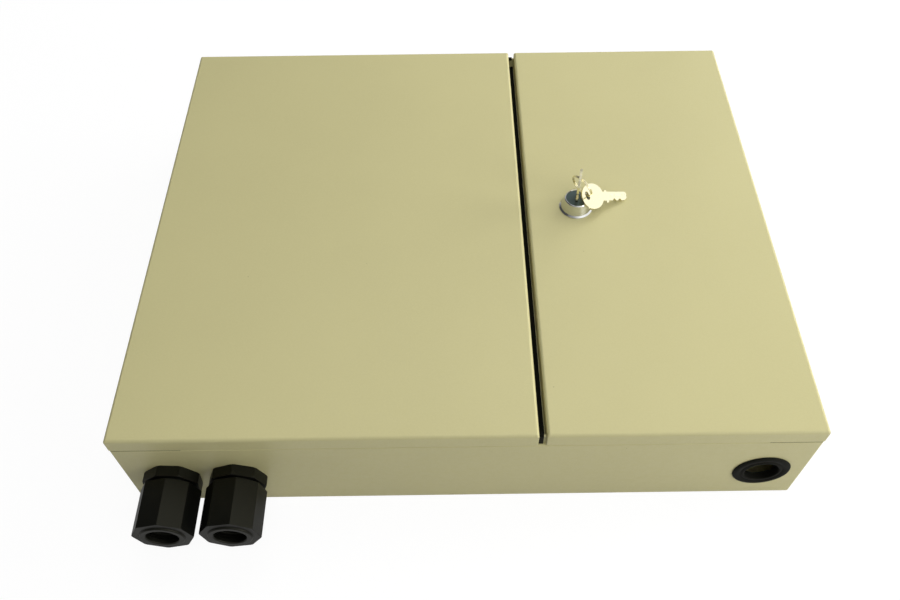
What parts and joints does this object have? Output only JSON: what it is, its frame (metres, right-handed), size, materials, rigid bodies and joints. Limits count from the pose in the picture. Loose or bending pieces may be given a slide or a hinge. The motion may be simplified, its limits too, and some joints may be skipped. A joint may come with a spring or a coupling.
{
  "type": "two-door wall distribution box",
  "caption": "Flat sheet-steel wall box for fibre distribution, with two hinged doors, a cam lock with keys, cable glands and a grommeted outlet.",
  "frame": {"origin": "centre of the back panel's wall face", "axes": "+Z out of the doors, +X to the right seen from the front, +Y away from the cable glands, up when the box hangs on its wall"},
  "size_m": [0.42, 0.3887, 0.1155],
  "materials": {
    "powder_coat": "satin beige powder coat with a fine orange peel",
    "zinc_steel": "bright zinc plate",
    "chrome": "polished",
    "lock_face": "dark blue-grey, satin",
    "nickel": "nickel plate",
    "black_nylon": "moulded, satin",
    "black_rubber": "matt",
    "foam": "matt closed-cell foam",
    "white_plastic": "satin",
    "clear_plastic": "clear",
    "blue_plastic": "moulded",
    "red_plastic": "moulded",
    "brass": "turned"
  },
  "bodies": {
    "cabinet": {"adapter_dust_caps": "red_plastic", "adapter_plate": "powder_coat", "adapter_plate_screws": "zinc_steel", "body_shell": "powder_coat", "cable_clamp_bracket": "powder_coat", "cable_clamp_saddles": "zinc_steel", "cable_clamp_screws": "zinc_steel", "centre_gutter": "powder_coat", "earth_nuts_and_washer": "zinc_steel", "earth_stud": "zinc_steel", "fibre_adapters": "blue_plastic", "fibre_posts": "white_plastic", "gland_body_left": "black_nylon", "gland_body_right": "black_nylon", "gland_locknut_left": "black_nylon", "gland_locknut_right": "black_nylon", "gland_seal_left": "black_rubber", "gland_seal_right": "black_rubber", "hinge_brackets_left": "zinc_steel", "hinge_brackets_right": "zinc_steel", "hinge_pins_left": "zinc_steel", "hinge_pins_right": "zinc_steel", "outlet_grommet": "black_rubber", "partition": "powder_coat", "partition_screws": "zinc_steel", "patch_cord_posts": "white_plastic", "splice_holders": "white_plastic", "splice_tray_lid": "clear_plastic", "splice_tray_lower": "white_plastic", "splice_tray_upper": "white_plastic", "strength_member_posts": "brass", "tray_nuts": "zinc_steel", "tray_studs": "zinc_steel", "web_grommets": "black_rubber"},
    "left_door": {"left_door": "powder_coat", "left_door_gasket": "foam", "left_door_keepers": "powder_coat", "hinge_ears_left": "zinc_steel"},
    "right_door": {"right_door": "powder_coat", "right_door_gasket": "foam", "hinge_ears_right": "zinc_steel", "lock_housing": "chrome", "lock_hex_nut": "zinc_steel", "lock_washer": "zinc_steel"},
    "lock_core": {"lock_plug": "lock_face", "lock_cam": "zinc_steel", "cam_screw": "zinc_steel"},
    "keys": {"key_in_lock": "nickel", "key_ring": "nickel", "spare_key": "nickel"},
    "gland_nut_left": {"gland_nut_left": "black_nylon"},
    "gland_nut_right": {"gland_nut_right": "black_nylon"},
    "latch_front": {"latch_knob_front": "black_nylon", "latch_tongue_front": "zinc_steel"},
    "latch_back": {"latch_knob_back": "black_nylon", "latch_tongue_back": "zinc_steel"}
  },
  "joints": [
    {"name": "left_door_hinge", "type": "hinge", "parent": "cabinet", "child": "left_door", "pos_m": [-0.206, 0, 0.0757], "axis": [0, -1, 0], "range_deg": [0, 105]},
    {"name": "right_door_hinge", "type": "hinge", "parent": "cabinet", "child": "right_door", "pos_m": [0.206, 0, 0.0757], "axis": [0, 1, 0], "range_deg": [0, 105]},
    {"name": "lock_turn", "type": "hinge", "parent": "right_door", "child": "lock_core", "pos_m": [0.08, 0.0031, 0.082], "axis": [0, 0, -1], "range_deg": [0, 90]},
    {"name": "key_pull", "type": "slide", "parent": "lock_core", "child": "keys", "axis": [0, 0, 1], "range_m": [0, 0.02]},
    {"name": "gland_nut_left_turn", "type": "hinge", "parent": "cabinet", "child": "gland_nut_left", "pos_m": [-0.1814, -0.195, 0.0334], "axis": [0, -1, 0], "continuous": true},
    {"name": "gland_nut_right_turn", "type": "hinge", "parent": "cabinet", "child": "gland_nut_right", "pos_m": [-0.1412, -0.195, 0.0334], "axis": [0, -1, 0], "continuous": true},
    {"name": "latch_front_turn", "type": "hinge", "parent": "cabinet", "child": "latch_front", "pos_m": [0.037, -0.146, 0.056], "axis": [1, 0, 0], "range_deg": [0, 90]},
    {"name": "latch_back_turn", "type": "hinge", "parent": "cabinet", "child": "latch_back", "pos_m": [0.037, 0.146, 0.056], "axis": [-1, 0, 0], "range_deg": [0, 90]}
  ]
}
